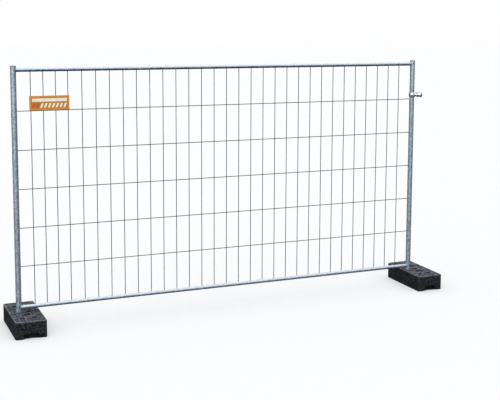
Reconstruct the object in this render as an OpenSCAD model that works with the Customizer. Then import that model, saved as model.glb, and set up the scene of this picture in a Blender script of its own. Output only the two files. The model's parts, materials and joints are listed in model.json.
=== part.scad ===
// Temporary fence panel: a welded tube frame with a wire mesh, standing in two
// loose rubber feet, with the clamp that ties it to the next panel.
// X runs along the panel, -Y is the front, Z is up from the ground.
// The origin is on the ground, midway between the outer sides of the feet.

/* [Frame] */
// Overall width across the two posts
panel_width = 3500; // [1200:10:3600]
// Length of each post tube
post_length = 2000; // [1900:10:2200]
// Outer diameter of the posts
post_d = 42; // [40:0.5:44]
// Wall of the posts
post_wall = 2; // [1.2:0.1:3]
// Outer diameter of the rails
rail_d = 30; // [26:0.5:32]
// Wall of the rails
rail_wall = 1.5; // [1:0.1:2.5]
// Top rail's centre below the top end of the posts
top_rail_drop = 26; // [22:1:60]
// Bottom rail's centre above the bottom end of the posts
bottom_rail_rise = 146; // [135:1:180]
// Vent hole in the front of a post at each rail
vent_d = 9; // [5:0.5:12]

/* [Post caps] */
// Lip of a cap past the post's side
cap_lip = 1.5; // [0.5:0.1:3]
// Height of the cap's straight rim
cap_rim = 3; // [1.5:0.5:6]
// Rise of the cap's dome above its rim
cap_dome = 5; // [2:0.5:9]
// Depth of the cap's plug inside the post
cap_plug = 16; // [8:1:18]
// Wall of the cap's plug
cap_wall = 2.5; // [1.5:0.5:4]

/* [Mesh] */
// Diameter of the upright wires
wire_d = 4.5; // [2.5:0.1:6]
// Diameter of the cross wires
cross_wire_d = 5; // [2.5:0.1:6]
// Number of cross wires
cross_wire_count = 5; // [1:1:9]
// Distance between cross wires
cross_wire_pitch = 300; // [150:5:320]
// First and last upright wire from the axis of the post
edge_gap = 128; // [110:1:150]
// Distance between the close wires that carry the sign
sign_wire_pitch = 94; // [60:1:100]
// Number of close gaps behind the sign
sign_gap_count = 3; // [1:1:4]
// Number of equal gaps across the rest of the mesh
mesh_gap_count = 27; // [5:1:40]
// Lap of an upright wire's end past the rail's centre line
wire_lap = 8; // [2:1:12]

/* [Sign plate] */
// Height of the sign plate
sign_h = 110; // [60:1:150]
// Thickness of the sign plate
sign_t = 1.2; // [0.8:0.1:2]
// Reach of the plate past its end wires
sign_overhang = 10; // [6:0.5:14]
// Length of the flange folded back behind each end wire
sign_flange = 16; // [12:1:24]

/* [Feet] */
// Width of a foot, along the panel
foot_w = 235; // [200:1:300]
// Length of a foot, across the panel
foot_l = 560; // [520:5:800]
// Height of a foot
foot_h = 134; // [110:1:140]
// Radius of a foot's upright corners
foot_corner_r = 14; // [8:1:20]
// Bevel round a foot's top edge
foot_bevel = 5; // [2:0.5:7]
// Rubber left under a socket
socket_floor = 24; // [15:1:40]
// Drain hole through the floor of a socket
drain_d = 16; // [8:1:30]
// Bevel at the mouth of a socket
socket_lead = 3; // [1:0.5:5]
// Side of the left foot from the axis of its post
left_foot_margin = 75; // [50:1:100]
// Side of the right foot from the axis of its post
right_foot_margin = 50; // [45:1:100]
// Outer rows of sockets from the middle row
socket_row = 172; // [140:1:200]
// Distance between the two sockets of an outer row
socket_pitch = 88; // [70:1:110]
// Oblong slots from the middle row
slot_row = 88; // [70:1:100]
// Length of an oblong slot
slot_length = 74; // [50:1:100]
// Width of an oblong slot
slot_width = 28; // [20:1:34]
// Depth of an oblong slot
slot_depth = 62; // [20:1:80]
// Width of the hand grip under each end
grip_w = 112; // [80:1:140]
// Height of the hand grip
grip_h = 38; // [25:1:45]
// Depth of the hand grip
grip_depth = 52; // [30:1:60]
// Radius of the hand grip's upper edges
grip_r = 12; // [4:1:20]

/* [Coupler] */
// Distance between the posts of two coupled panels
post_pitch = 76; // [72:1:90]
// Coupler's centre above the top cross wire
coupler_rise = 38; // [26:1:150]
// Height of the straps
strap_h = 40; // [30:1:50]
// Thickness of the straps
strap_t = 4; // [2.5:0.5:5]
// Gap left between the two clamped straps
strap_gap = 6; // [4:0.5:10]
// Height left at the straps' waist, between the posts
waist_h = 27; // [24:1:30]
// Radius of the scoops that make the waist
waist_r = 30; // [20:1:40]
// Diameter of the carriage bolt
bolt_d = 10; // [8:1:12]
// Diameter of the bolt's domed head
head_d = 21; // [18:0.5:24]
// Height of the bolt's domed head
head_h = 5; // [3:0.5:7]
// Bolt left standing past the nut
bolt_spare = 9; // [6:1:20]
// Nut's width across its flats
nut_flats = 17; // [14:0.5:19]
// Height of the nut
nut_h = 8; // [6:0.5:10]
// Bevel on the nut's corners
nut_bevel = 0.8; // [0.3:0.1:1.2]
// Diameter of the washer
washer_d = 21; // [18:0.5:24]
// Thickness of the washer
washer_t = 2; // [1:0.5:3]

/* [Clearances] */
// Post in its rubber socket, all round
socket_clearance = 0.5; // [0.1:0.05:0.5]
// Strap jaw round a post, all round
jaw_clearance = 0.1; // [0.05:0.01:0.2]
// Bolt in the front strap's hole, all round
bolt_hole_clearance = 0.5; // [0.2:0.1:1]
// Bolt in the washer, all round
washer_clearance = 0.3; // [0.1:0.1:0.8]
// Bolt in the nut, all round
nut_clearance = 0.1; // [0.05:0.01:0.3]
// Square neck in the rear strap, each side
neck_clearance = 0.1; // [0.05:0.01:0.3]
// Cap's plug in the post, all round
plug_clearance = 0.2; // [0.05:0.05:0.5]

/* [Hidden] */
$fn = 64;
// How far a cut runs past the face that it opens
overrun = 2;
// Sides of the nut
nut_sides = 6;

post_r = post_d / 2;
post_spacing = panel_width - post_d;
left_x = (left_foot_margin + right_foot_margin - foot_w - post_spacing) / 2;
right_x = left_x + post_spacing;
post_top_z = socket_floor + post_length;
top_rail_z = post_top_z - top_rail_drop;
bottom_rail_z = socket_floor + bottom_rail_rise;

wire_count = 1 + sign_gap_count + mesh_gap_count;
sign_wire_span = sign_gap_count * sign_wire_pitch;
mesh_pitch = (post_spacing - 2 * edge_gap - sign_wire_span) / mesh_gap_count;
wire_y = (rail_d + wire_d) / 2;
cross_wire_y = wire_y + (wire_d + cross_wire_d) / 2;
mesh_mid_z = (top_rail_z + bottom_rail_z) / 2;

socket_r = post_r + socket_clearance;

coupler_z = cross_z(0) + coupler_rise;
jaw_r = post_r + jaw_clearance;
web_y = strap_gap / 2;
washer_y = web_y + strap_t;
nut_y = washer_y + washer_t;
bolt_end_y = nut_y + nut_h + bolt_spare;

galvanised = "LightSlateGray";
zinc = "Silver";
rubber = "DarkSlateGray";

// Names of the repeated wires, counted from the left and from the top
function two_digits(n) = n < 10 ? str("0", n) : str(n);
function upright_name(i) = str("vertical_wire_", two_digits(i + 1));
function cross_name(k) = str("horizontal_wire_", k + 1);

// Place of upright wire i along the panel: close behind the sign, then evenly spread
function upright_x(i) =
    left_x + edge_gap
    + min(i, sign_gap_count) * sign_wire_pitch
    + max(i - sign_gap_count, 0) * mesh_pitch;

// Height of cross wire k, centred between the rails
function cross_z(k) = mesh_mid_z + ((cross_wire_count - 1) / 2 - k) * cross_wire_pitch;

// Sphere radius of a dome from its foot radius and its rise
function dome_r(foot_r, rise) = (foot_r * foot_r + rise * rise) / (2 * rise);

// Tube standing on the ground plane
module tube(d, wall, length) {
    difference() {
        cylinder(d = d, h = length);
        translate([0, 0, -overrun]) cylinder(d = d - 2 * wall, h = length + 2 * overrun);
    }
}

// Domed disc: a spherical cap that rises from a flat foot
module dome(foot_r, rise) {
    intersection() {
        cylinder(r = foot_r, h = rise);
        translate([0, 0, rise - dome_r(foot_r, rise)]) sphere(r = dome_r(foot_r, rise), $fn = 128);
    }
}

// Both posts as solid bars, to shape what is welded against them
module post_bars() {
    for (x = [left_x, right_x])
        translate([x, 0, socket_floor]) cylinder(d = post_d, h = post_length);
}

// Post with a vent hole in its front at each rail
module post(x) {
    translate([x, 0, 0])
        difference() {
            translate([0, 0, socket_floor]) tube(post_d, post_wall, post_length);
            for (z = [bottom_rail_z, top_rail_z])
                translate([0, 0, z]) rotate([90, 0, 0]) cylinder(d = vent_d, h = post_d);
        }
}

// Domed push-in cap that closes the top of a post
module post_cap(x) {
    lip_r = post_r + cap_lip;
    plug_r = post_r - post_wall - plug_clearance;
    translate([x, 0, post_top_z]) {
        translate([0, 0, cap_rim]) dome(lip_r, cap_dome);
        cylinder(r = lip_r, h = cap_rim);
        translate([0, 0, -cap_plug]) tube(2 * plug_r, cap_wall, cap_plug);
    }
}

// Rail between the posts, its ends cut to seat on their round sides
module rail(z) {
    difference() {
        translate([left_x, 0, z]) rotate([0, 90, 0]) tube(rail_d, rail_wall, post_spacing);
        post_bars();
    }
}

// Upright wire lapped on the backs of both rails
module upright_wire(i) {
    color(galvanised)
        translate([upright_x(i), wire_y, bottom_rail_z - wire_lap])
            cylinder(d = wire_d, h = top_rail_z - bottom_rail_z + 2 * wire_lap);
}

// Cross wire behind the upright wires, its ends saddled on the backs of the posts
module cross_wire(k) {
    color(galvanised)
        difference() {
            translate([left_x, cross_wire_y, cross_z(k)])
                rotate([0, 90, 0]) cylinder(d = cross_wire_d, h = post_spacing);
            post_bars();
        }
}

// Outline of the sign plate from above: a flat sheet, folded back round its end wires
module sign_outline() {
    bend_in = wire_d / 2;
    bend_out = bend_in + sign_t;
    bend_x = bend_out - sign_overhang;
    for (end = [0, 1])
        translate([end * sign_wire_span, 0]) mirror([end, 0])
            translate([bend_x, 0]) {
                difference() {
                    circle(r = bend_out);
                    circle(r = bend_in);
                    translate([0, -bend_out]) square(2 * bend_out);
                }
                translate([0, bend_in]) square([sign_flange, sign_t]);
            }
    translate([bend_x, -bend_out]) square([sign_wire_span - 2 * bend_x, sign_t]);
}

// Foot block with round upright corners and a bevelled top edge
module foot_block() {
    body_h = foot_h - foot_bevel;
    flat_w = foot_w - 2 * foot_corner_r;
    flat_l = foot_l - 2 * foot_corner_r;
    for (span = [[foot_w, flat_l], [flat_w, foot_l]])
        translate([-span[0] / 2, -span[1] / 2, 0]) cube([span[0], span[1], body_h]);
    translate([0, flat_l / 2, body_h]) rotate([90, 0, 0])
        linear_extrude(flat_l) bevel_section(foot_w);
    translate([-flat_w / 2, 0, body_h]) rotate([90, 0, 90])
        linear_extrude(flat_w) bevel_section(foot_l);
    for (x = [-flat_w / 2, flat_w / 2], y = [-flat_l / 2, flat_l / 2])
        translate([x, y, 0]) {
            cylinder(r = foot_corner_r, h = body_h);
            translate([0, 0, body_h])
                cylinder(r1 = foot_corner_r, r2 = foot_corner_r - foot_bevel, h = foot_bevel);
        }
}

// Section of the bevelled top layer
module bevel_section(width) {
    polygon([
        [-width / 2, 0],
        [width / 2, 0],
        [width / 2 - foot_bevel, foot_bevel],
        [foot_bevel - width / 2, foot_bevel]
    ]);
}

// Round socket with a bevelled mouth and a drained floor
module socket_cut() {
    translate([0, 0, socket_floor]) cylinder(r = socket_r, h = foot_h - socket_floor + overrun);
    translate([0, 0, foot_h - socket_lead])
        cylinder(r1 = socket_r, r2 = socket_r + socket_lead + overrun, h = socket_lead + overrun);
    translate([0, 0, -overrun]) cylinder(d = drain_d, h = socket_floor + 2 * overrun);
}

// Blind oblong slot with round ends
module slot_cut() {
    end_x = (slot_length - slot_width) / 2;
    translate([0, 0, foot_h - slot_depth])
        linear_extrude(slot_depth + overrun) {
            square([2 * end_x, slot_width], center = true);
            for (x = [-end_x, end_x])
                translate([x, 0]) circle(d = slot_width);
        }
}

// Hand grip scooped up from the underside of one end, with round upper edges
module grip_cut() {
    translate([0, foot_l / 2 + overrun, 0]) rotate([90, 0, 0])
        linear_extrude(grip_depth + overrun) {
            translate([-grip_w / 2, -overrun]) square([grip_w, grip_h - grip_r + overrun]);
            translate([grip_r - grip_w / 2, -overrun]) square([grip_w - 2 * grip_r, grip_h + overrun]);
            for (side = [-1, 1])
                translate([side * (grip_w / 2 - grip_r), grip_h - grip_r]) circle(r = grip_r);
        }
}

// Rubber foot that carries a post in the near socket of its middle row
module foot(x, margin) {
    post_place = margin - foot_w / 2;
    color(rubber)
        translate([x - post_place, 0, 0])
            difference() {
                foot_block();
                for (place = [post_place, post_place + post_pitch])
                    translate([place, 0, 0]) socket_cut();
                for (place = [-socket_pitch / 2, socket_pitch / 2], row = [-1, 1])
                    translate([place, row * socket_row, 0]) socket_cut();
                for (side = [0, 1])
                    mirror([0, side, 0]) {
                        translate([0, slot_row, 0]) slot_cut();
                        grip_cut();
                    }
            }
}

// Outline of the rear strap from above: two half jaws joined by a flat web
module strap_outline() {
    reach = jaw_r + strap_t;
    difference() {
        union() {
            for (x = [0, post_pitch])
                translate([x, 0]) circle(r = reach);
            translate([0, web_y]) square([post_pitch, strap_t]);
        }
        for (x = [0, post_pitch])
            translate([x, 0]) circle(r = jaw_r);
        translate([-reach, web_y - 2 * reach]) square([post_pitch + 2 * reach, 2 * reach]);
    }
}

// Strap drawn in between the posts by a scoop in each edge
module strap() {
    translate([right_x, 0, coupler_z])
        difference() {
            translate([0, 0, -strap_h / 2]) linear_extrude(strap_h) strap_outline();
            for (side = [-1, 1])
                translate([post_pitch / 2, 0, side * (waist_h / 2 + waist_r)])
                    rotate([-90, 0, 0]) cylinder(r = waist_r, h = post_d);
        }
}

// Moves a piece drawn along Z to the bolt's axis, with its far end towards the front
module on_bolt_axis(y) {
    translate([right_x + post_pitch / 2, y, coupler_z]) rotate([90, 0, 0]) children();
}

module left_post() { color(galvanised) post(left_x); }
module right_post() { color(galvanised) post(right_x); }
module left_post_cap() { color(galvanised) post_cap(left_x); }
module right_post_cap() { color(galvanised) post_cap(right_x); }
module top_rail() { color(galvanised) rail(top_rail_z); }
module bottom_rail() { color(galvanised) rail(bottom_rail_z); }
module left_foot() { foot(left_x, left_foot_margin); }
module right_foot() { foot(right_x, right_foot_margin); }

// Sign plate hooked round the close wires, standing on the top cross wire
module sign_plate() {
    color("DarkOrange")
        translate([left_x + edge_gap, wire_y, cross_z(0) + cross_wire_d / 2])
            linear_extrude(sign_h) sign_outline();
}

// Rear strap, with the square hole that keeps the bolt from turning
module coupler_rear() {
    neck = bolt_d + 2 * neck_clearance;
    color(zinc)
        difference() {
            strap();
            on_bolt_axis(post_r)
                translate([-neck / 2, -neck / 2, 0]) cube([neck, neck, post_r]);
        }
}

// Front strap, with a round hole that slides along the bolt
module coupler_front() {
    color(zinc)
        difference() {
            mirror([0, 1, 0]) strap();
            on_bolt_axis(0) cylinder(d = bolt_d + 2 * bolt_hole_clearance, h = post_r);
        }
}

// Carriage bolt: domed head, square neck and plain shank
module coupler_bolt() {
    color(zinc) {
        on_bolt_axis(washer_y) mirror([0, 0, 1]) dome(head_d / 2, head_h);
        on_bolt_axis(washer_y)
            translate([-bolt_d / 2, -bolt_d / 2, 0]) cube([bolt_d, bolt_d, strap_t]);
        on_bolt_axis(washer_y) cylinder(d = bolt_d, h = washer_y + bolt_end_y);
    }
}

// Washer between the front strap and the nut
module coupler_washer() {
    color(zinc)
        on_bolt_axis(-washer_y)
            difference() {
                cylinder(d = washer_d, h = washer_t);
                translate([0, 0, -overrun])
                    cylinder(d = bolt_d + 2 * washer_clearance, h = washer_t + 2 * overrun);
            }
}

// Hexagon nut with bevelled corners on its free face
module coupler_nut() {
    corner_r = nut_flats / 2 / cos(180 / nut_sides);
    color(zinc)
        on_bolt_axis(-nut_y)
            difference() {
                intersection() {
                    cylinder(r = corner_r, h = nut_h, $fn = nut_sides);
                    union() {
                        cylinder(r = corner_r, h = nut_h - nut_bevel);
                        translate([0, 0, nut_h - nut_bevel])
                            cylinder(r1 = corner_r, r2 = corner_r - 2 * nut_bevel, h = nut_bevel);
                    }
                }
                translate([0, 0, -overrun])
                    cylinder(d = bolt_d + 2 * nut_clearance, h = nut_h + 2 * overrun);
            }
}

left_post();
right_post();
left_post_cap();
right_post_cap();
top_rail();
bottom_rail();
for (i = [0 : wire_count - 1])
    upright_wire(i);
for (k = [0 : cross_wire_count - 1])
    cross_wire(k);
sign_plate();
left_foot();
right_foot();
coupler_rear();
coupler_front();
coupler_bolt();
coupler_washer();
coupler_nut();
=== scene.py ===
"""Dress a temporary fence panel in galvanised steel, rubber crumb, enamel and bright zinc.

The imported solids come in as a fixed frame. Each one gets its finish here, and the script adds what the
solids leave out: weld beads and weld nuggets, the sign's painted face, the crown of the coupler's jaws,
the bolt's thread and the crumb surface of the feet. Every length is in metres.
"""

from __future__ import annotations

import json
import logging
import math
from dataclasses import dataclass, replace
from enum import Enum
from typing import Any, Iterable, Sequence

import bmesh
import bpy
import numpy as np
from bpy.types import Material, Mesh, Node, NodeSocket, NodeTree, Object, World
from mathutils import Matrix, Vector, noise

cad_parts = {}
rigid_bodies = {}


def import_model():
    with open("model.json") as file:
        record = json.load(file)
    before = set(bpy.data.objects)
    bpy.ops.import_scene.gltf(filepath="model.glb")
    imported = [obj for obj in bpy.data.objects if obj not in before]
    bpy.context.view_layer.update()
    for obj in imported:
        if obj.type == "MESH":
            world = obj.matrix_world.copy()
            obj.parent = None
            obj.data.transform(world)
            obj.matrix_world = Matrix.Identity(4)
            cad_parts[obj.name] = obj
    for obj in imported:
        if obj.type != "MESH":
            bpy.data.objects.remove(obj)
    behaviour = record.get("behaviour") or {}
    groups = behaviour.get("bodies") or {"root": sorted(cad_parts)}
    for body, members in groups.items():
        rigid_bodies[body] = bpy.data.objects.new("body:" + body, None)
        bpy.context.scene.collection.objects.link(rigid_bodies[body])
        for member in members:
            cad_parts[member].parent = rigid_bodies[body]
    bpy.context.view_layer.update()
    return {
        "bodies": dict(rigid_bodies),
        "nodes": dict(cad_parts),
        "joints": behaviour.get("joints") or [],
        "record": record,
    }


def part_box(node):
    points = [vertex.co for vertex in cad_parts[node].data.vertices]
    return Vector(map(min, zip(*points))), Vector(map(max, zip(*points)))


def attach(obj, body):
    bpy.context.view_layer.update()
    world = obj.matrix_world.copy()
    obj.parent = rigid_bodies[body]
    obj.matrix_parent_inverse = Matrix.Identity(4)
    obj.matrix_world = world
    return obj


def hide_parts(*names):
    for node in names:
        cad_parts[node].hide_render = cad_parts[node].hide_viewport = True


LOG = logging.getLogger("fence_panel")
RUBBED = "rubbed"
POSTS = ("left_post", "right_post")
RAILS = ("top_rail", "bottom_rail")
SKY_TILT = (0.15, 0.85)
GROUND_TILT = (-0.15, -0.75)
MERGE_GAP = 1e-6
MM_PER_M = 1000
TINY = 1e-9
Colour = tuple[float, float, float]
Point = tuple[float, float, float]
Outline = list[tuple[float, float]]
Range = tuple[float, float]


class Slot(str, Enum):
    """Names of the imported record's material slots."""

    FRAME = "frame_tube"
    WIRE = "mesh_wire"
    SIGN = "sign_paint"
    FOOT = "foot_rubber"
    COUPLER = "coupler_zinc"


class Body(str, Enum):
    """Rigid bodies that the pieces ride on."""

    PANEL = "panel"
    LEFT_FOOT = "left_foot"
    RIGHT_FOOT = "right_foot"
    COUPLER_REAR = "coupler_rear"
    COUPLER_FRONT = "coupler_front"


class Socket(str, Enum):
    """Socket types of the node groups."""

    FLOAT = "NodeSocketFloat"
    INTEGER = "NodeSocketInt"
    VECTOR = "NodeSocketVector"
    MATERIAL = "NodeSocketMaterial"
    GEOMETRY = "NodeSocketGeometry"


class Graph:
    """A node tree with short calls that add nodes and join their sockets."""

    def __init__(self, tree: NodeTree) -> None:
        """Wrap a node tree."""
        self.tree = tree

    def add(self, kind: str, inputs: dict[str | int, Any] | None = None, **settings: Any) -> Node:
        """Add a node.

        Args:
            kind: Blender's type name of the node.
            inputs: sockets or values for its inputs, by name or number.
            settings: properties to set on it.

        Returns:
            The new node.
        """
        node = self.tree.nodes.new(kind)
        for name, value in settings.items():
            setattr(node, name, value)
        for key, value in (inputs or {}).items():
            self.put(node.inputs[key], value)
        return node

    def put(self, socket: NodeSocket, value: Any) -> None:
        """Feed a socket from another socket, or set its own value."""
        if isinstance(value, NodeSocket):
            self.tree.links.new(value, socket)
        else:
            socket.default_value = value

    def math(self, operation: str, *values: Any) -> NodeSocket:
        """Join values with a Math node.

        Args:
            operation: Blender's name of the operation.
            values: sockets or numbers, in order.

        Returns:
            The result's socket.
        """
        return self.add("ShaderNodeMath", dict(enumerate(values)), operation=operation).outputs[0]

    def mix(self, factor: Any, first: Any, second: Any) -> NodeSocket:
        """Mix two colours.

        Args:
            factor: share of the second colour.
            first: socket or colour at 0.
            second: socket or colour at 1.

        Returns:
            The mixed colour's socket.
        """
        first, second = ((*c, 1.0) if isinstance(c, tuple) else c for c in (first, second))
        return self.add("ShaderNodeMix", {0: factor, 6: first, 7: second}, data_type="RGBA").outputs[2]

    def span(self, value: Any, low: Any, high: Any, to_low: float = 0.0, to_high: float = 1.0) -> NodeSocket:
        """Map a value smoothly from one range to another.

        Args:
            value: the socket to map.
            low: start of the range that is read.
            high: end of the range that is read.
            to_low: result at its start.
            to_high: result at its end.

        Returns:
            The mapped value's socket.
        """
        inputs = dict(enumerate((value, low, high, to_low, to_high)))
        return self.add("ShaderNodeMapRange", inputs, interpolation_type="SMOOTHSTEP").outputs[0]

    def noise(self, place: Any, scale: Any, detail: float = 3.0) -> NodeSocket:
        """Add cloudy noise.

        Args:
            place: coordinates to read.
            scale: clouds per metre.
            detail: octaves of finer noise.

        Returns:
            The noise value's socket, about 0.5 on average.
        """
        inputs = {"Vector": place, "Scale": scale, "Detail": detail}
        return self.add("ShaderNodeTexNoise", inputs).outputs["Fac"]

    def cells(self, place: Any, scale: Any) -> Node:
        """Add a Voronoi texture, whose cells stand for crystals or crumbs."""
        return self.add("ShaderNodeTexVoronoi", {"Vector": place, "Scale": scale})

    def stretched(self, place: Any, scale: Point) -> NodeSocket:
        """Scale coordinates, so that a pattern on them is drawn out."""
        return self.add("ShaderNodeMapping", {"Vector": place, "Scale": scale}).outputs[0]

    def group(self, group: NodeTree, **values: Any) -> Node:
        """Place a node group.

        Args:
            group: the group's tree.
            values: its inputs by name, with _ for a space.

        Returns:
            The group's node.
        """
        inputs = {name.replace("_", " "): value for name, value in values.items()}
        return self.add("ShaderNodeGroup", inputs, node_tree=group)


def fresh_graph(owner: Material | World) -> Graph:
    """Empty the node tree of a material or a world.

    Args:
        owner: the material or the world.

    Returns:
        Its bare tree.
    """
    owner.use_nodes = True
    owner.node_tree.nodes.clear()
    return Graph(owner.node_tree)


class NodeGroup:
    """A node group under construction, with named inputs and outputs."""

    def __init__(
        self,
        name: str,
        inputs: dict[str, Socket],
        outputs: dict[str, Socket],
        kind: str = "ShaderNodeTree",
    ) -> None:
        """Make the group and its sockets.

        Args:
            name: the group's name.
            inputs: socket type of each input, by name.
            outputs: socket type of each output, by name.
            kind: Blender's type name of the tree.
        """
        self.tree = bpy.data.node_groups.new(name, kind)
        for side, sockets in (("INPUT", inputs), ("OUTPUT", outputs)):
            for label, socket in sockets.items():
                self.tree.interface.new_socket(label, in_out=side, socket_type=socket.value)
        self.graph = Graph(self.tree)
        self.entry = self.graph.add("NodeGroupInput")
        self.exit = self.graph.add("NodeGroupOutput")

    def given(self, name: str) -> NodeSocket:
        """The socket of a named input."""
        return self.entry.outputs[name]

    def give(self, name: str, value: NodeSocket) -> None:
        """Feed a named output."""
        self.graph.put(self.exit.inputs[name], value)


class Effects:
    """Shader node groups that more than one finish uses, each built once."""

    fine_ratio = 2.6
    fine_share = 0.45
    grain_ratio = 9.0
    run_stretch = (1.0, 1.0, 0.18)
    run_over = (0.52, 0.72)

    def __init__(self) -> None:
        """Build every group."""
        self.spangle = self._spangle()
        self.lie = self._lie()
        self.stain = self._stain()

    def _spangle(self) -> NodeTree:
        """Zinc crystals: a shade for each crystal, and the fine grain on them.

        Returns:
            The group's tree.
        """
        made = NodeGroup(
            "zinc_spangle",
            {"Place": Socket.VECTOR, "Crystals per metre": Socket.FLOAT},
            {"Shade": Socket.FLOAT, "Grain": Socket.FLOAT},
        )
        graph, place, scale = made.graph, made.given("Place"), made.given("Crystals per metre")
        coarse = graph.cells(place, scale).outputs["Color"]
        fine = graph.cells(place, graph.math("MULTIPLY", scale, self.fine_ratio)).outputs["Color"]
        shade = graph.add("ShaderNodeSeparateColor", {0: graph.mix(self.fine_share, coarse, fine)})
        made.give("Shade", shade.outputs[0])
        made.give("Grain", graph.noise(place, graph.math("MULTIPLY", scale, self.grain_ratio), detail=4.0))
        return made.tree

    def _lie(self) -> NodeTree:
        """How a surface lies: masks for what faces the sky and what faces the ground.

        Returns:
            The group's tree.
        """
        made = NodeGroup(
            "surface_lie",
            {"Unevenness": Socket.FLOAT, "Sky from": Socket.FLOAT, "Sky to": Socket.FLOAT},
            {"Sky": Socket.FLOAT, "Ground": Socket.FLOAT},
        )
        graph = made.graph
        normal = graph.add("ShaderNodeNewGeometry").outputs["Normal"]
        upward = graph.add("ShaderNodeSeparateXYZ", {0: normal}).outputs["Z"]
        tilt = graph.math("ADD", upward, graph.math("SUBTRACT", made.given("Unevenness"), 0.5))
        made.give("Sky", graph.span(tilt, made.given("Sky from"), made.given("Sky to")))
        made.give("Ground", graph.span(tilt, *GROUND_TILT))
        return made.tree

    def _stain(self) -> NodeTree:
        """Stains that run down a surface, as a mask.

        Returns:
            The group's tree.
        """
        made = NodeGroup(
            "run_stain",
            {"Place": Socket.VECTOR, "Runs per metre": Socket.FLOAT},
            {"Mask": Socket.FLOAT},
        )
        graph = made.graph
        drawn = graph.stretched(made.given("Place"), self.run_stretch)
        cloud = graph.noise(drawn, made.given("Runs per metre"), detail=5.0)
        made.give("Mask", graph.span(cloud, *self.run_over))
        return made.tree


class Surface:
    """A material under construction: its graph, its shader and its Object coordinates."""

    def __init__(self, name: str, effects: Effects) -> None:
        """Start a material with a bare Principled shader.

        Args:
            name: the material's name.
            effects: the shared node groups.
        """
        self.effects = effects
        self.material = bpy.data.materials.new(name)
        self.graph = fresh_graph(self.material)
        self.shader = self.graph.add("ShaderNodeBsdfPrincipled")
        self.graph.add("ShaderNodeOutputMaterial", {"Surface": self.shader.outputs["BSDF"]})
        self.place = self.graph.add("ShaderNodeTexCoord").outputs["Object"]

    def set(self, **values: Any) -> None:
        """Set or feed the shader's sockets, named with _ for a space."""
        for name, value in values.items():
            self.graph.put(self.shader.inputs[name.replace("_", " ")], value)

    def lie(self, clouds: float, sky: Range = SKY_TILT) -> Node:
        """Place the masks of how the surface lies.

        Args:
            clouds: clouds per metre that break the masks' edges.
            sky: tilts between which a face turns to the sky.

        Returns:
            The group's node, with its outputs Sky and Ground.
        """
        uneven = self.graph.noise(self.place, clouds)
        return self.graph.group(self.effects.lie, Unevenness=uneven, Sky_from=sky[0], Sky_to=sky[1])

    def stain(self, runs: float) -> NodeSocket:
        """Place the mask of stains, with so many runs per metre."""
        return self.graph.group(self.effects.stain, Place=self.place, Runs_per_metre=runs).outputs["Mask"]

    def relief(self, height: NodeSocket, depth: float, strength: float = 1.0) -> None:
        """Give the shader a bump.

        Args:
            height: the relief, from 0 to 1.
            depth: its full depth.
            strength: how strongly it shows.
        """
        inputs = {"Height": height, "Distance": depth, "Strength": strength}
        self.set(Normal=self.graph.add("ShaderNodeBump", inputs).outputs[0])


@dataclass(frozen=True)
class Clouds:
    """A cloudy mask: clouds per metre, octaves, the noise that it reads and the values that it gives."""

    scale: float
    detail: float
    over: Range
    to: Range = (0.0, 1.0)

    def mask(self, surface: Surface) -> NodeSocket:
        """Place the mask in a material under construction."""
        value = surface.graph.noise(surface.place, self.scale, self.detail)
        return surface.graph.span(value, *self.over, *self.to)


@dataclass(frozen=True)
class Finish:
    """A finish, which makes a material in its own way."""

    name: str

    def build(self, effects: Effects) -> Material:
        """Build the material.

        Args:
            effects: the shared node groups.

        Returns:
            The material.
        """
        surface = Surface(self.name, effects)
        self.paint(surface)
        return surface.material

    def paint(self, surface: Surface) -> None:
        """Feed the shader of a material under construction."""
        raise NotImplementedError


@dataclass(frozen=True)
class GalvanisedFinish(Finish):
    """Hot-dip galvanised steel with zinc crystals and pale run stains, a painted highlight on faces turned up
    and painted shade on faces turned down.
    """

    dark: Colour
    light: Colour
    # Colour of the pale run stains, and also of the painted highlight on faces turned up.
    pale: Colour
    # Painted shade: this dark colour stands in for the shade on faces turned down.
    painted_underside_shade: Colour
    crystal: float
    relief: float
    metallic: float = 0.75
    grain_share: float = 0.35
    stain_share: float = 0.3
    # Share of the painted highlight on faces turned up.
    painted_top_light_share: float = 0.9
    # Share of the painted shade on faces turned down.
    painted_underside_shade_share: float = 0.85
    runs: float = 22.0
    clouds: float = 60.0
    sky: Range = (0.06, 0.55)
    contrast: Range = (0.35, 1.1)
    rough_over: Range = (0.2, 1.1)
    rough: Range = (0.34, 0.56)

    def paint(self, surface: Surface) -> None:
        """Feed the shader with crystals, pale run stains, a painted highlight on top and painted shade
        underneath.
        """
        graph = surface.graph
        crystals = {"Place": surface.place, "Crystals_per_metre": 1.0 / self.crystal}
        spangle = graph.group(surface.effects.spangle, **crystals).outputs
        stain = surface.stain(self.runs)
        lie = surface.lie(self.clouds, self.sky).outputs
        shade = graph.math("MULTIPLY_ADD", spangle["Grain"], self.grain_share, spangle["Shade"])
        steel = graph.mix(graph.span(shade, *self.contrast), self.dark, self.light)
        # Pale run stains, then a painted highlight on faces turned up and painted shade on faces turned down.
        for mask, share, colour in (
            (stain, self.stain_share, self.pale),
            (lie["Sky"], self.painted_top_light_share, self.pale),
            (lie["Ground"], self.painted_underside_shade_share, self.painted_underside_shade),
        ):
            steel = graph.mix(graph.math("MULTIPLY", mask, share), steel, colour)
        rough = graph.span(shade, *self.rough_over, *self.rough)
        surface.set(Base_Color=steel, Roughness=rough, Metallic=self.metallic)
        surface.relief(shade, self.relief)


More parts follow.
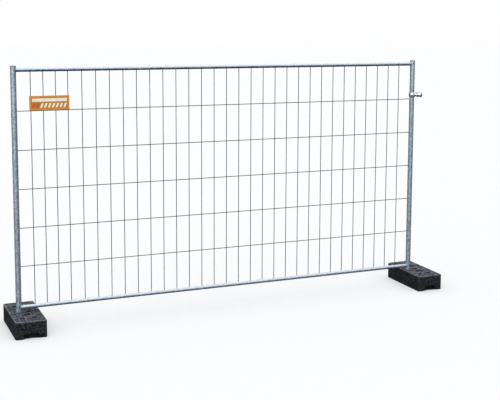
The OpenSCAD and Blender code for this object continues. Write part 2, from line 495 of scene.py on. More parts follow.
@dataclass(frozen=True)
class ZincFinish(Finish):
    """Bright zinc plate with a faint brushed grain, dull scuffed patches and painted shade on faces turned
    down.
    """

    bright: Colour
    dull: Colour
    # Painted shade: this dark colour stands in for the shade on faces turned down.
    painted_underside_shade: Colour
    metallic: float = 0.9
    painted_underside_shade_share: float = 0.8
    scuffs: Clouds = Clouds(140.0, 6.0, (0.45, 0.7))
    clouds: float = 90.0
    brush: Point = (60.0, 60.0, 900.0)
    brush_depth: float = 0.00004
    rough: Range = (0.16, 0.34)

    def paint(self, surface: Surface) -> None:
        """Feed the shader with plate, scuffs and painted shade on faces turned down."""
        graph = surface.graph
        scuff = self.scuffs.mask(surface)
        brushed = graph.noise(graph.stretched(surface.place, self.brush), 1.0, detail=2.0)
        # Painted shade on the faces turned down, such as the strap's lower edges.
        under = graph.math("MULTIPLY", surface.lie(self.clouds).outputs["Ground"], self.painted_underside_shade_share)
        plate = graph.mix(under, graph.mix(scuff, self.bright, self.dull), self.painted_underside_shade)
        rough = graph.span(scuff, 0.0, 1.0, *self.rough)
        surface.set(Base_Color=plate, Metallic=self.metallic, Roughness=rough)
        surface.relief(brushed, self.brush_depth)


@dataclass(frozen=True)
class CrumbFinish(Finish):
    """Black rubber crumb, bonded and pressed, with dusty flecks on its top and pale rubbed grains."""

    black: Colour
    grey: Colour
    grime: Colour
    dust: Colour
    worn: Colour
    crumb: float
    fine_ratio: float = 2.7
    fine_share: float = 0.4
    fine_pits: float = 0.5
    fleck_over: Range = (0.3, 0.8)
    fleck_edge: Range = (1.0, 0.15)
    dust_clouds: Clouds = Clouds(13.0, 6.0, (0.34, 0.62), (0.6, 1.0))
    dust_clusters: Clouds = Clouds(42.0, 2.0, (0.43, 0.6), (0.2, 1.0))
    rub_patches: Clouds = Clouds(45.0, 5.0, (0.3, 0.6), (0.2, 1.0))
    clouds: float = 70.0
    gloss: float = 0.15
    rough: Range = (0.5, 0.82)
    pit_depth: float = 0.0012
    pit_strength: float = 0.8

    def paint(self, surface: Surface) -> None:
        """Feed the shader with crumbs, settled dust and rubbed grains."""
        graph, place = surface.graph, surface.place
        crumbs = graph.cells(place, 1.0 / self.crumb).outputs
        fine = graph.cells(place, self.fine_ratio / self.crumb).outputs
        blend = graph.mix(self.fine_share, crumbs["Color"], fine["Color"])
        tone = graph.add("ShaderNodeSeparateColor", {0: blend}).outputs
        edge = graph.span(crumbs["Distance"], *self.fleck_over, *self.fleck_edge)
        fleck = graph.math("MULTIPLY", graph.span(tone[0], *self.fleck_over), edge)
        sky = surface.lie(self.clouds).outputs["Sky"]
        settled = graph.math("MULTIPLY", sky, self.dust_clouds.mask(surface))
        clustered = graph.math("MULTIPLY", fleck, self.dust_clusters.mask(surface))
        dusty = graph.mix(clustered, self.grime, self.dust)
        rubber = graph.mix(settled, graph.mix(fleck, self.black, self.grey), dusty)
        rubbed = graph.add("ShaderNodeAttribute", attribute_name=RUBBED).outputs["Fac"]
        patchy = graph.math("MULTIPLY", rubbed, self.rub_patches.mask(surface))
        rubber = graph.mix(patchy, rubber, self.worn)
        rough = graph.span(tone[1], 0.0, 1.0, *self.rough)
        surface.set(Base_Color=rubber, Roughness=rough, Specular_IOR_Level=self.gloss)
        pits = graph.math("MULTIPLY_ADD", fine["Distance"], self.fine_pits, crumbs["Distance"])
        surface.relief(graph.math("SUBTRACT", 1.0, pits), self.pit_depth, self.pit_strength)


@dataclass(frozen=True)
class EnamelFinish(Finish):
    """Enamel on sheet steel or a printed film: an even colour with faint orange peel and weathering."""

    paint_colour: Colour
    faded: Colour
    roughness: float = 0.38
    weathering: float = 0.2
    gloss: float = 0.3
    coat: Range = (0.12, 0.02)
    runs: float = 40.0
    stain_share: float = 0.5
    fading: Clouds = Clouds(30.0, 5.0, (0.35, 0.7), (0.0, 0.6))
    peel: float = 900.0
    peel_depth: float = 0.00006

    def paint(self, surface: Surface) -> None:
        """Feed the shader with paint, fading and orange peel."""
        graph = surface.graph
        stain = surface.stain(self.runs)
        cloud = self.fading.mask(surface)
        fading = graph.math("MAXIMUM", cloud, graph.math("MULTIPLY", stain, self.stain_share))
        surface.set(
            Base_Color=graph.mix(fading, self.paint_colour, self.faded),
            Roughness=graph.span(cloud, 0.0, 1.0, self.roughness, self.roughness + self.weathering),
            Coat_Weight=graph.span(stain, 0.0, 1.0, *self.coat),
            Specular_IOR_Level=self.gloss,
        )
        surface.relief(graph.noise(surface.place, self.peel, detail=2.0), self.peel_depth)


@dataclass(frozen=True)
class MouldedFinish(Finish):
    """Grey moulded plastic with a fine leather grain."""

    plastic: Colour
    chalked: Colour
    chalk_share: float = 0.7
    clouds: float = 120.0
    grains: float = 1400.0
    grain_depth: float = 0.00015
    rough_over: Range = (0.0, 0.8)
    rough: Range = (0.5, 0.7)

    def paint(self, surface: Surface) -> None:
        """Feed the shader with plastic, chalk and grain."""
        graph = surface.graph
        chalk = graph.math("MULTIPLY", surface.lie(self.clouds).outputs["Sky"], self.chalk_share)
        grain = graph.cells(surface.place, self.grains).outputs["Distance"]
        surface.set(
            Base_Color=graph.mix(chalk, self.plastic, self.chalked),
            Roughness=graph.span(grain, *self.rough_over, *self.rough),
        )
        surface.relief(grain, self.grain_depth)


class Finishes:
    """Every material of the object, ready to assign."""

    def __init__(self) -> None:
        """Build the materials."""
        made = Effects()
        # In each galvanised finish below, pale colours the run stains and a painted highlight on faces turned
        # up, and the darkest colour is painted shade on faces turned down.
        tube = GalvanisedFinish(
            "galvanised_tube",
            dark=(0.40, 0.46, 0.505),
            light=(0.68, 0.755, 0.815),
            pale=(0.48, 0.505, 0.53),
            painted_underside_shade=(0.05, 0.06, 0.08),
            crystal=0.009,
            relief=0.00012,
        )
        self.tube = tube.build(made)
        # The bottom rail's copy of the tube finish, with a weaker painted highlight on top and a much weaker
        # painted shade underneath.
        low_tube = replace(tube, name="galvanised_low_rail", painted_top_light_share=0.75, painted_underside_shade_share=0.25)
        self.low_tube = low_tube.build(made)
        self.wire = GalvanisedFinish(
            "galvanised_wire",
            dark=(0.06, 0.064, 0.07),
            light=(0.15, 0.158, 0.168),
            pale=(0.18, 0.188, 0.196),
            painted_underside_shade=(0.026, 0.028, 0.031),
            crystal=0.006,
            relief=0.00005,
        ).build(made)
        self.weld = GalvanisedFinish(
            "galvanised_weld",
            dark=(0.22, 0.25, 0.28),
            light=(0.45, 0.50, 0.55),
            pale=(0.5, 0.53, 0.56),
            painted_underside_shade=(0.06, 0.07, 0.08),
            crystal=0.004,
            relief=0.0002,
        ).build(made)
        # Its last colour is painted shade on faces turned down.
        self.zinc = ZincFinish(
            "bright_zinc",
            bright=(0.92, 0.93, 0.95),
            dull=(0.72, 0.75, 0.78),
            painted_underside_shade=(0.03, 0.033, 0.037),
        ).build(made)
        self.crumb = CrumbFinish(
            "rubber_crumb",
            black=(0.026, 0.0265, 0.029),
            grey=(0.15, 0.153, 0.164),
            grime=(0.044, 0.045, 0.05),
            dust=(0.47, 0.483, 0.52),
            worn=(0.23, 0.237, 0.26),
            crumb=0.007,
        ).build(made)
        self.enamel = EnamelFinish("orange_enamel", (0.65, 0.34, 0.085), (0.58, 0.305, 0.09)).build(made)
        self.pale_enamel = EnamelFinish("pale_orange_rim", (0.78, 0.42, 0.12), (0.70, 0.38, 0.13)).build(made)
        self.cream = EnamelFinish("cream_film", (0.93, 0.89, 0.78), (0.84, 0.78, 0.64)).build(made)
        self.red = EnamelFinish("red_film", (0.68, 0.14, 0.08), (0.62, 0.17, 0.10)).build(made)
        self.cap = MouldedFinish("grey_cap", (0.25, 0.265, 0.285), (0.44, 0.45, 0.47)).build(made)


def new_piece(name: str, mesh: Mesh, material: Material | None = None) -> Object:
    """Link a mesh into the scene as a piece.

    Args:
        name: the piece's name.
        mesh: its mesh, with its place in its points.
        material: its finish, or None if it gets one later.

    Returns:
        The new object.
    """
    piece = bpy.data.objects.new(name, mesh)
    bpy.context.scene.collection.objects.link(piece)
    if material is not None:
        assign_finish(piece, material)
    return piece


def assign_finish(piece: Object, material: Material) -> None:
    """Give an object one finish all over."""
    piece.data.materials.clear()
    piece.data.materials.append(material)


def make_plain(piece: Object) -> None:
    """Put what a piece's modifiers make into a plain mesh of its own.

    Args:
        piece: the piece, which loses its modifiers.
    """
    depsgraph = bpy.context.evaluated_depsgraph_get()
    mesh = bpy.data.meshes.new_from_object(piece.evaluated_get(depsgraph), depsgraph=depsgraph)
    piece.modifiers.clear()
    piece.data = mesh
    mesh.name = piece.name


def mesh_of(
    name: str, points: Iterable[Sequence[float]], edges: Sequence = (), faces: Sequence = ()
) -> Mesh:
    """Make a mesh from plain lists.

    Args:
        name: the mesh's name.
        points: its points.
        edges: pairs of point numbers.
        faces: rings of point numbers.

    Returns:
        The mesh.
    """
    mesh = bpy.data.meshes.new(name)
    mesh.from_pydata([tuple(p) for p in points], list(edges), list(faces))
    mesh.update()
    return mesh


def mesh_from(shape: bmesh.types.BMesh, name: str) -> Mesh:
    """Turn a finished shape into a mesh.

    Args:
        shape: the shape, which is freed.
        name: the mesh's name.

    Returns:
        The mesh.
    """
    mesh = bpy.data.meshes.new(name)
    shape.to_mesh(mesh)
    shape.free()
    return mesh


def smooth(mesh: Mesh) -> None:
    """Shade every face smoothly."""
    mesh.polygons.foreach_set("use_smooth", [True] * len(mesh.polygons))


def vectors_of(mesh: Mesh, name: str) -> np.ndarray:
    """Read a vector of every point of a mesh.

    Args:
        mesh: the mesh.
        name: Blender's name of the vector, co or normal.

    Returns:
        One row for each point.
    """
    values = np.empty(len(mesh.vertices) * 3, np.float32)
    mesh.vertices.foreach_get(name, values)
    return values.reshape(-1, 3).astype(float)


def centre_of(node: str) -> Vector:
    """Middle of a solid's box at rest."""
    low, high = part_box(node)
    return (low + high) / 2


def settle(piece: Object, body: Body, replaced: Sequence[str] = ()) -> None:
    """Let a finished piece ride on its body.

    Args:
        piece: the finished piece.
        body: the body that it moves with.
        replaced: solids that it stands for.
    """
    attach(piece, body.value)
    if replaced:
        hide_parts(*replaced)
    LOG.info("made %s on %s, %d faces", piece.name, body.value, len(piece.data.polygons))


class GrowthTree(NodeGroup):
    """A Geometry Nodes tree with named inputs, which grows balls of weld metal on a seed mesh."""

    ball_segments = 10
    ball_rings = 5

    def __init__(self, name: str, inputs: dict[str, Socket]) -> None:
        """Make the tree and its sockets.

        Args:
            name: the tree's name.
            inputs: socket type of each input beside Geometry, Size, Seed and Material, by name.
        """
        shared = {"Size": Socket.FLOAT, "Seed": Socket.INTEGER, "Material": Socket.MATERIAL}
        geometry = {"Geometry": Socket.GEOMETRY}
        super().__init__(name, {**geometry, **inputs, **shared}, geometry, "GeometryNodeTree")

    def close(self, **placing: NodeSocket) -> None:
        """End the tree: set a ball on each point, realize, smooth and set the material.

        Args:
            placing: what feeds the instances, such as Points and Scale.
        """
        graph = self.graph
        ball = {"Segments": self.ball_segments, "Rings": self.ball_rings, "Radius": self.given("Size")}
        placing["Instance"] = graph.add("GeometryNodeMeshUVSphere", ball).outputs["Mesh"]
        shape = graph.add("GeometryNodeInstanceOnPoints", placing).outputs[0]
        for step in ("GeometryNodeRealizeInstances", "GeometryNodeSetShadeSmooth"):
            shape = graph.add(step, {"Geometry": shape}).outputs[0]
        finish = {"Geometry": shape, "Material": self.given("Material")}
        self.give("Geometry", graph.add("GeometryNodeSetMaterial", finish).outputs[0])

    def grow(self, name: str, seed_mesh: Mesh, **values: Any) -> Object:
        """Grow a piece and turn it into a plain mesh.

        Args:
            name: the piece's name.
            seed_mesh: the points or path that it grows on.
            values: the tree's inputs by name.

        Returns:
            The finished object.
        """
        piece = new_piece(name, seed_mesh)
        grower = piece.modifiers.new("grow", "NODES")
        grower.node_group = self.tree
        keys = {i.name: i.identifier for i in self.tree.interface.items_tree if i.in_out == "INPUT"}
        for label, value in values.items():
            grower[keys[label]] = value
        make_plain(piece)
        return piece


def nugget_tree(least: float = 0.82, most: float = 1.22) -> GrowthTree:
    """Make the tree that sets a squeezed blob of weld metal on each point.

    Args:
        least: scale of the smallest blob.
        most: scale of the largest one.

    Returns:
        The tree, with inputs Squeeze, Size, Seed and Material.
    """
    made = GrowthTree("weld_nuggets", {"Squeeze": Socket.VECTOR})
    graph = made.graph
    spread = {2: least, 3: most, "Seed": made.given("Seed")}
    vary = graph.add("FunctionNodeRandomValue", spread, data_type="FLOAT").outputs[1]
    scale = graph.add("ShaderNodeVectorMath", {0: made.given("Squeeze"), "Scale": vary}, operation="SCALE")
    points = graph.add("GeometryNodeMeshToPoints", {"Mesh": made.given("Geometry")})
    made.close(Points=points.outputs[0], Scale=scale.outputs[0])
    return made


def bead_tree(least: Point = (0.95, 0.95, 0.75), most: Point = (1.15, 1.15, 0.95)) -> GrowthTree:
    """Make the tree that lays overlapping weld ripples along a path.

    Args:
        least: scale of the smallest ripple.
        most: scale of the largest one.

    Returns:
        The tree, with inputs Step, Size, Seed and Material.
    """
    made = GrowthTree("weld_bead", {"Step": Socket.FLOAT})
    graph = made.graph
    path = graph.add("GeometryNodeMeshToCurve", {"Mesh": made.given("Geometry")}).outputs[0]
    spacing = {"Curve": path, "Length": made.given("Step")}
    stops = graph.add("GeometryNodeResampleCurve", spacing, mode="LENGTH").outputs[0]
    points = graph.add("GeometryNodeCurveToPoints", {"Curve": stops}, mode="EVALUATED").outputs
    spread = {0: least, 1: most, "Seed": made.given("Seed")}
    vary = graph.add("FunctionNodeRandomValue", spread, data_type="FLOAT_VECTOR").outputs[0]
    made.close(Points=points["Points"], Rotation=points["Rotation"], Scale=vary)
    return made


@dataclass
class Assembly:
    """A part of the object that is built and dressed as one."""

    frame: dict
    finishes: Finishes

    def build(self) -> None:
        """Make the pieces and dress the solids."""
        raise NotImplementedError

    def dress(self, names: Iterable[str], material: Material) -> None:
        """Give solids a finish.

        Args:
            names: the solids' names.
            material: their finish.
        """
        for name in names:
            assign_finish(self.frame["nodes"][name], material)
            LOG.info("dressed %s in %s", name, material.name)


@dataclass
class TubeFrame(Assembly):
    """Posts and rails, with the weld beads that join them."""

    bead_size: float = 0.0032
    bead_step: float = 0.0024
    bead_seed: int = 3
    path_points: int = 96
    caps: tuple[str, ...] = ("left_post_cap", "right_post_cap")

    def build(self) -> None:
        """Dress the tubes and weld them."""
        top_rail, bottom_rail = RAILS
        self.dress((*POSTS, top_rail), self.finishes.tube)
        self.dress((bottom_rail,), self.finishes.low_tube)
        self.dress(self.caps, self.finishes.cap)
        beads = bead_tree().grow(
            "rail_weld_beads",
            self._paths(),
            Step=self.bead_step,
            Size=self.bead_size,
            Seed=self.bead_seed,
            Material=self.finishes.weld,
        )
        settle(beads, Body.PANEL)

    def _paths(self) -> Mesh:
        """Lay a closed path where each rail meets each post.

        Returns:
            A mesh of four edge loops.
        """
        points: list[Point] = []
        edges: list[tuple[int, int]] = []
        for post in POSTS:
            low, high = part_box(post)
            post_x, post_r = (low.x + high.x) / 2, (high.x - low.x) / 2
            inward = 1.0 if post_x < 0 else -1.0
            for rail in RAILS:
                low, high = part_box(rail)
                rail_z, rail_r = (low.z + high.z) / 2, (high.z - low.z) / 2
                first = len(points)
                for step in range(self.path_points):
                    angle = math.tau * step / self.path_points
                    y = rail_r * math.cos(angle)
                    x = post_x + inward * math.sqrt(post_r**2 - y**2)
                    points.append((x, y, rail_z + rail_r * math.sin(angle)))
                    edges.append((first + step, first + (step + 1) % self.path_points))
        return mesh_of("weld_paths", points, edges)


@dataclass
class WireMesh(Assembly):
    """Upright and cross wires, with the resistance welds where they cross."""

    nugget_size: float = 0.0022
    nugget_seed: int = 11
    squeeze: Point = (1.0, 0.75, 1.0)

    def build(self) -> None:
        """Dress the wires and weld them."""
        uprights, crosses = (
            sorted(name for name in self.frame["nodes"] if name.startswith(start))
            for start in ("vertical_wire_", "horizontal_wire_")
        )
        self.dress((*uprights, *crosses), self.finishes.wire)
        nuggets = nugget_tree().grow(
            "wire_weld_nuggets",
            mesh_of("weld_points", self._crossings(uprights, crosses)),
            Squeeze=self.squeeze,
            Size=self.nugget_size,
            Seed=self.nugget_seed,
            Material=self.finishes.weld,
        )
        settle(nuggets, Body.PANEL)

    def _crossings(self, uprights: Sequence[str], crosses: Sequence[str]) -> list[Point]:
        """Find every place where a wire is welded.

        Args:
            uprights: the upright wires.
            crosses: the cross wires.

        Returns:
            The contact points of wires with wires, rails and posts.
        """
        spots: list[Point] = []
        for upright in uprights:
            x, back = centre_of(upright).x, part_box(upright)[1].y
            spots += [(x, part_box(rail)[1].y, centre_of(rail).z) for rail in RAILS]
            spots += [(x, back, centre_of(cross).z) for cross in crosses]
        for cross in crosses:
            spots += [(centre_of(post).x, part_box(post)[1].y, centre_of(cross).z) for post in POSTS]
        return spots


@dataclass
class SignPlate(Assembly):
    """Enamelled plate with a pale rim, a blank cream strip and a row of slanted bars."""

    edge: float = 0.0015
    rim: float = 0.009
    margin: float = 0.019
    film: float = 0.0003
    strip_height: float = 0.026
    bar_height: float = 0.034
    bar_count: int = 9
    bar_width: float = 0.016
    slant: float = 0.013
    red_bars: int = 2

    def build(self) -> None:
        """Dress the plate and paint its face."""
        self.dress(["sign_plate"], self.finishes.enamel)
        low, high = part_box("sign_plate")
        left, right, top = low.x + self.margin, high.x - self.margin, high.z - self.margin
        bars = self._bars(left, right, low.z + self.margin)
        strip = self._box(left, top - self.strip_height, right, top)
        for name, outlines, material in (
            ("sign_cream_strip", [strip], self.finishes.cream),
            ("sign_pale_rim", self._rim(low, high), self.finishes.pale_enamel),
            ("sign_red_bars", bars[: self.red_bars], self.finishes.red),
            ("sign_cream_bars", bars[self.red_bars :], self.finishes.cream),
        ):
            piece = new_piece(name, self._film(name, outlines, low.y), material)
            settle(piece, Body.PANEL)

    @staticmethod
    def _box(left: float, bottom: float, right: float, top: float, lean: float = 0.0) -> Outline:
        """Outline a patch in X and Z, counter-clockwise as seen from the front.

        Args:
            left: its left side at the bottom.
            bottom: its lower edge.
            right: its right side at the bottom.
            top: its upper edge.
            lean: how far its upper edge is moved to the right.

        Returns:
            Its four corners.
        """
        return [(left, bottom), (right, bottom), (right + lean, top), (left + lean, top)]

    def _rim(self, low: Vector, high: Vector) -> list[Outline]:
        """Outline the rim's four sides, mitred at the corners.

        Args:
            low: the plate's lowest corner.
            high: the plate's highest corner.

        Returns:
            Four corners for each side, in X and Z.
        """
        outer, inner = (
            self._box(low.x + inset, low.z + inset, high.x - inset, high.z - inset)
            for inset in (self.edge, self.edge + self.rim)
        )
        return [[outer[i], outer[(i + 1) % 4], inner[(i + 1) % 4], inner[i]] for i in range(4)]

    def _bars(self, left: float, right: float, bottom: float) -> list[Outline]:
        """Outline the row of slanted bars.

        Args:
            left: where the row starts.
            right: where it ends.
            bottom: its lower edge.

        Returns:
            Four corners for each bar, in X and Z.
        """
        pitch = (right - left - self.slant - self.bar_width) / (self.bar_count - 1)
        starts = [left + number * pitch for number in range(self.bar_count)]
        top = bottom + self.bar_height
        return [self._box(x, bottom, x + self.bar_width, top, self.slant) for x in starts]

    def _film(self, name: str, outlines: Sequence[Outline], face_y: float) -> Mesh:
        """Make a thin film that lies on the plate's front.

        Args:
            name: the mesh's name.
            outlines: corners of each patch in X and Z.
            face_y: the plate's front face.

        Returns:
            The film.
        """
        shape = bmesh.new()
        for outline in outlines:
            shape.faces.new([shape.verts.new((x, face_y, z)) for x, z in outline])
        bmesh.ops.remove_doubles(shape, verts=shape.verts, dist=MERGE_GAP)
        raised = bmesh.ops.extrude_face_region(shape, geom=shape.faces[:])["geom"]
        front = [item for item in raised if isinstance(item, bmesh.types.BMVert)]
        bmesh.ops.translate(shape, verts=front, vec=(0.0, -self.film, 0.0))
        bmesh.ops.recalc_face_normals(shape, faces=shape.faces)
        return mesh_from(shape, name)


@dataclass
class RubberFoot(Assembly):
    """Foot block with a pressed crumb surface, which stands for the plain solid."""

    node: str
    body: Body
    post: str
    voxel: float = 0.0034
    crumb: float = 0.0065
    cloud: float = 0.0325
    relief: float = 0.0008
    crumb_share: float = 0.7
    cloud_share: float = 0.3
    bore_margin: float = 0.0025
    wall_tilt: float = 0.5
    rub_reach: float = 0.007
    mouth_lead: float = 0.003
    mouth_share: float = 0.5
    corner_drop: float = 0.03
    corner_share: float = 0.4

    def build(self) -> None:
        """Make the foot from a copy of its solid."""
        piece = self._remeshed(self.frame["nodes"][self.node])
        bores = self._bores(self.frame["record"])
        self._press(piece.data, bores)
        self._rub(piece.data, bores)
        assign_finish(piece, self.finishes.crumb)
        smooth(piece.data)
        settle(piece, self.body, [self.node])

    def _remeshed(self, solid: Object) -> Object:
        """Copy a solid and cover it evenly with small faces.

        Args:
            solid: the foot's solid.

        Returns:
            The new piece.
        """
        name = self.node + "_crumb"
        shape = bmesh.new()
        shape.from_mesh(solid.data)
        bmesh.ops.remove_doubles(shape, verts=shape.verts, dist=MERGE_GAP)
        piece = new_piece(name, mesh_from(shape, name))
        cover = piece.modifiers.new("cover", "REMESH")
        cover.mode = "VOXEL"
        cover.voxel_size = self.voxel
        make_plain(piece)
        return piece

    def _bores(self, record: dict) -> list[Point]:
        """Find the foot's sockets.

        Args:
            record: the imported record.

        Returns:
            Centre in X and Y and the radius of each socket.
        """
        bores = [
            (m["pos_m"][0], m["pos_m"][1], m["dims"]["r_mm"] / MM_PER_M)
            for m in record["mounts"]
            if m["kind"] == "bore" and m["name"].startswith(self.node)
        ]
        post = centre_of(self.post)
        return [*bores, (post.x, post.y, bores[0][2])]

    def _press(self, mesh: Mesh, bores: Sequence[Point]) -> None:
        """Press crumbs into the surface, and keep the sockets round and the underside flat.

        Args:
            mesh: the foot's mesh, changed in place.
            bores: centre and radius of each socket.
        """
        points, normals = vectors_of(mesh, "co"), vectors_of(mesh, "normal")
        dents = np.empty(len(points))
        for index, point in enumerate(points):
            near, _ = noise.voronoi(Vector(point / self.crumb))
            rough = noise.noise(Vector(point / self.cloud))
            dents[index] = min(near[0], 1.0) * self.crumb_share + self.cloud_share * (0.5 + 0.5 * rough)
        points -= normals * (self.relief * dents)[:, None]
        low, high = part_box(self.node)
        for x, y, radius in bores:
            away = points[:, :2] - (x, y)
            reach = np.linalg.norm(away, axis=1)
            wall = (abs(reach - radius) < self.bore_margin) & (abs(normals[:, 2]) < self.wall_tilt)
            points[wall, :2] = (x, y) + away[wall] * (radius / reach[wall])[:, None]
        points[:, 2] = np.clip(points[:, 2], low.z, high.z)
        mesh.vertices.foreach_set("co", points.astype(np.float32).ravel())
        mesh.update()

    def _rub(self, mesh: Mesh, bores: Sequence[Point]) -> None:
        """Mark how much each point is rubbed pale: most on the rims, corners and mouths.

        Args:
            mesh: the foot's mesh, which gets a float attribute.
            bores: centre and radius of each socket.
        """
        points = vectors_of(mesh, "co")
        low, high = (np.array(corner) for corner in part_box(self.node))
        inset = np.minimum(points - low, high - points)
        side, drop = inset[:, :2].min(axis=1), high[2] - points[:, 2]
        rim = np.exp(-(np.hypot(side, drop) / self.rub_reach) ** 2)
        corner = np.exp(-(np.hypot(inset[:, 0], inset[:, 1]) / (2 * self.rub_reach)) ** 2)
        rubbed = np.maximum(rim, self.corner_share * corner * np.exp(-drop / self.corner_drop))
        for x, y, radius in bores:
            away = np.hypot(points[:, 0] - x, points[:, 1] - y) - radius - self.mouth_lead
            mouth = np.exp(-(np.hypot(away, drop) / self.rub_reach) ** 2)
            rubbed = np.maximum(rubbed, self.mouth_share * mouth)
        mark = mesh.attributes.new(RUBBED, "FLOAT", "POINT")
        mark.data.foreach_set("value", rubbed.astype(np.float32))


@dataclass
class Coupler(Assembly):
    """Strap halves with crowned jaws, washer and nut, and a carriage bolt that has its thread cut."""

    shank_r: float = 0.005
    head_h: float = 0.005
    neck_length: float = 0.004
    thread_pitch: float = 0.0015
    thread_depth: float = 0.0009
    thread_flat: float = 0.125
    plain_length: float = 0.009
    end_bevel: float = 0.0011
    sides: int = 40
    steps_per_turn: int = 6
    head_rings: int = 10
    crown_half: float = 0.0185
    crown_rise: float = 0.0034
    crown_arc_deg: Range = (9.0, 152.0)
    crown_seat: float = 0.0005
    crown_steps: int = 48
    crown_sides: int = 14
    sharp_deg: float = 50.0
    dressed: tuple[str, ...] = ("coupler_rear", "coupler_front", "coupler_washer", "coupler_nut")

    def build(self) -> None:
        """Dress the coupler, make its bolt and crown its jaws."""
        zinc = self.finishes.zinc
        self.dress(self.dressed, zinc)
        bolt = new_piece("threaded_bolt", self._bolt("threaded_bolt"), zinc)
        settle(bolt, Body.COUPLER_REAR, ["coupler_bolt"])
        for node, body in (("coupler_rear", Body.COUPLER_REAR), ("coupler_front", Body.COUPLER_FRONT)):
            name = f"{node}_crown"
            settle(new_piece(name, self._crown(node, name), zinc), body)

    def _mesh(self, shape: bmesh.types.BMesh, name: str) -> Mesh:
        """Turn a finished shape into a smooth mesh with sharp corners.

        Args:
            shape: the shape, which is freed.
            name: the mesh's name.

        Returns:
            The mesh.
        """
        bmesh.ops.recalc_face_normals(shape, faces=shape.faces)
        mesh = mesh_from(shape, name)
        smooth(mesh)
        mesh.set_sharp_from_angle(angle=math.radians(self.sharp_deg))
        return mesh

    def _bolt(self, name: str) -> Mesh:
        """Make the carriage bolt where its solid lies.

        Args:
            name: the mesh's name.

        Returns:
            The bolt, with shank, neck and head.
        """
        shape = bmesh.new()
        low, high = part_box("coupler_bolt")
        self._shank(shape, low.y, high.y - self.head_h)
        self._neck(shape, high.y - self.head_h)
        self._head(shape, high.y, (high.x - low.x) / 2)
        centre = (low + high) / 2
        bmesh.ops.translate(shape, verts=shape.verts, vec=(centre.x, 0.0, centre.z))
        return self._mesh(shape, name)

    def _crown(self, node: str, name: str) -> Mesh:
        """Swell the outside of a strap's two jaws, as pressing leaves them.

        Args:
            node: the strap.
            name: the mesh's name.

        Returns:
            The swelling of both jaws.
        """
        low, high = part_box(node)
        facing = math.copysign(1.0, low.y + high.y)
        reach = max(-low.y, high.y)
        middle = (low.z + high.z) / 2
        start, stop = self.crown_arc_deg
        levels = [2 * i / self.crown_sides - 1 for i in range(self.crown_sides + 1)]
        seat = [(reach - self.crown_seat, level) for level in (levels[-1], levels[0])]
        shape = bmesh.new()
        for outward, axis_x in ((-1.0, low.x + reach), (1.0, high.x - reach)):
            rings = []
            for step in range(self.crown_steps + 1):
                share = step / self.crown_steps
                angle = math.radians(start + (stop - start) * share)
                rise = self.crown_rise * math.sqrt(math.sin(math.pi * share) + TINY)
                along, across = outward * math.cos(angle), facing * math.sin(angle)
                section = [(reach + rise * (1 - level**2), level) for level in levels]
                rings.append(
                    [
                        (axis_x + r * along, r * across, middle + level * self.crown_half)
                        for r, level in section + seat
                    ]
                )
            self._tube(shape, rings)
        return self._mesh(shape, name)

    def _tube(self, shape: bmesh.types.BMesh, rings: Sequence[Sequence[Point]]) -> None:
        """Close a skin over rings of points.

        Args:
            shape: the mesh to add to.
            rings: rings with equal numbers of points, in order along the axis.
        """
        made = [[shape.verts.new(point) for point in ring] for ring in rings]
        for near, far in zip(made, made[1:]):
            for i in range(len(near)):
                j = (i + 1) % len(near)
                shape.faces.new((near[i], near[j], far[j], far[i]))
        shape.faces.new(made[0][::-1])
        shape.faces.new(made[-1])

    def _angles(self) -> list[float]:
        """Angles of the points in a ring."""
        return [math.tau * i / self.sides for i in range(self.sides)]

    def _shank_r(self, along: float, angle: float, threaded: float) -> float:
        """Radius of the shank at a place on its thread.

        Args:
            along: distance from the free end.
            angle: angle round the axis.
            threaded: length of the thread.

        Returns:
            The radius there.
        """
        turn = (along / self.thread_pitch - angle / math.tau) % 1.0
        slope = 1 + 2 * self.thread_flat
        flank = min(max(slope * abs(2 * turn - 1) - self.thread_flat, 0.0), 1.0)
        fade = min(max((threaded - along) / self.thread_pitch, 0.0), 1.0)
        bevelled = self.shank_r - max(self.end_bevel - along, 0.0)
        return min(self.shank_r - self.thread_depth * flank * fade, bevelled)

    def _shank(self, shape: bmesh.types.BMesh, free_end: float, neck_end: float) -> None:
        """Make the shank, with a thread as far as its plain length.

        Args:
            shape: the mesh to add to.
            free_end: Y of the free end.
            neck_end: Y of the head's underside.
        """
        length = neck_end - free_end
        threaded = length - self.plain_length
        count = math.ceil(length / self.thread_pitch * self.steps_per_turn)
        rings = []
        for step in range(count + 1):
            along = length * step / count
            ring = []
            for angle in self._angles():
                r = self._shank_r(along, angle, threaded)
                ring.append((r * math.cos(angle), free_end + along, r * math.sin(angle)))
            rings.append(ring)
        self._tube(shape, rings)

    def _neck(self, shape: bmesh.types.BMesh, under_head: float) -> None:
        """Make the square neck under the head."""
        place = Matrix.Translation((0.0, under_head - self.neck_length / 2, 0.0))
        size = Matrix.Diagonal((2 * self.shank_r, self.neck_length, 2 * self.shank_r, 1.0))
        bmesh.ops.create_cube(shape, size=1.0, matrix=place @ size)

    def _head(self, shape: bmesh.types.BMesh, top: float, radius: float) -> None:
        """Make the domed head.

        Args:
            shape: the mesh to add to.
            top: Y of its crown.
            radius: radius of its rim.
        """
        ball = (radius**2 + self.head_h**2) / (2 * self.head_h)
        reach = math.asin(radius / ball)
        rings = []
        for step in range(self.head_rings):
            tilt = reach * (1 - step / self.head_rings)
            r, y = ball * math.sin(tilt), top - ball * (1 - math.cos(tilt))
            rings.append([(r * math.cos(a), y, r * math.sin(a)) for a in self._angles()])
        self._tube(shape, rings)


